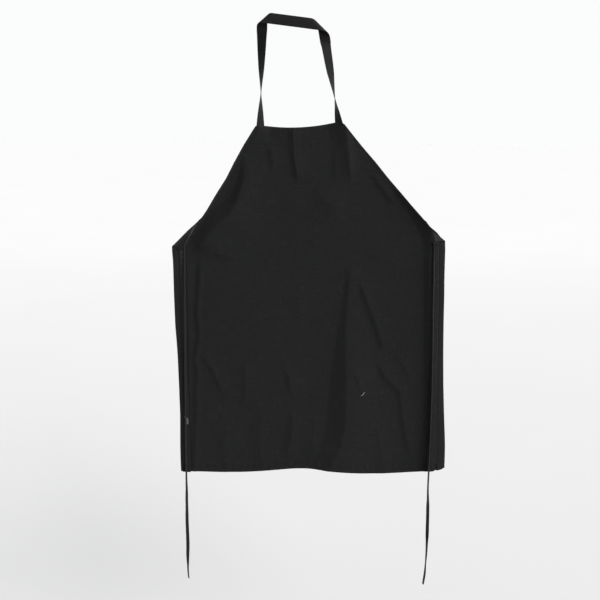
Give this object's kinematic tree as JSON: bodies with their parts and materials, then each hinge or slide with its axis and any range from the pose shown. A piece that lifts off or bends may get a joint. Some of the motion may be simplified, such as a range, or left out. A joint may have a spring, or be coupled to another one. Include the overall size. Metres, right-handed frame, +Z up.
{
  "type": "bib apron",
  "caption": "Artist's bib apron of plain dark cloth with a flat neck strap, a wide skirt and two long waist ties, hanging by its strap.",
  "frame": {"origin": "middle of the neck strap's front band, on the mid plane of the hanger that the strap hangs on", "axes": "+X to the right as seen from the front, +Z up, the front of the apron faces -Y"},
  "size_m": [0.6766, 0.0292, 1.4146],
  "materials": {
    "apron_cloth": "plain-woven cotton, near black, matt",
    "strap_webbing": "flat woven tape, near black, matt",
    "tie_tape": "narrow folded cotton tape, near black, matt",
    "thread": "black sewing thread, slight sheen",
    "label": "light grey woven satin, blank"
  },
  "bodies": {
    "neck_strap": {"neck_strap": "strap_webbing"},
    "panel": {"front_panel": "apron_cloth", "bib_hem": "apron_cloth", "bottom_hem": "apron_cloth", "left_armhole_binding": "apron_cloth", "right_armhole_binding": "apron_cloth", "left_strap_end": "strap_webbing", "right_strap_end": "strap_webbing", "bib_stitching": "thread", "bottom_stitching": "thread", "left_armhole_stitching": "thread", "right_armhole_stitching": "thread", "left_strap_bartack": "thread", "right_strap_bartack": "thread"},
    "left_flap": {"left_side_flap": "apron_cloth", "left_side_hem": "apron_cloth", "left_side_stitching": "thread", "left_tie_end": "tie_tape", "left_tie_bartack": "thread", "care_label": "label"},
    "right_flap": {"right_side_flap": "apron_cloth", "right_side_hem": "apron_cloth", "right_side_stitching": "thread", "right_tie_end": "tie_tape", "right_tie_bartack": "thread"},
    "left_tie": {"left_waist_tie": "tie_tape"},
    "right_tie": {"right_waist_tie": "tie_tape"}
  },
  "joints": [
    {"name": "panel_swing", "type": "hinge", "parent": "neck_strap", "child": "panel", "pos_m": [0.01813, 0.0101, -0.2309], "axis": [0.9996, 0, 0.0288], "range_deg": [-80, 80]},
    {"name": "left_flap_fold", "type": "hinge", "parent": "panel", "child": "left_flap", "pos_m": [-0.27891, 0.00815, -0.81895], "axis": [0.0288, 0, -0.9996], "range_deg": [0, 180]},
    {"name": "right_flap_fold", "type": "hinge", "parent": "panel", "child": "right_flap", "pos_m": [0.38151, 0.00815, -0.79992], "axis": [-0.0288, 0, 0.9996], "range_deg": [0, 180]},
    {"name": "left_tie_swing", "type": "hinge", "parent": "left_flap", "child": "left_tie", "pos_m": [-0.2579, 0.0003, -0.532], "axis": [-1, 0, 0], "range_deg": [0, 100]},
    {"name": "right_tie_swing", "type": "hinge", "parent": "right_flap", "child": "right_tie", "pos_m": [0.344, 0.0003, -0.5146], "axis": [-1, 0, 0], "range_deg": [0, 100]}
  ]
}
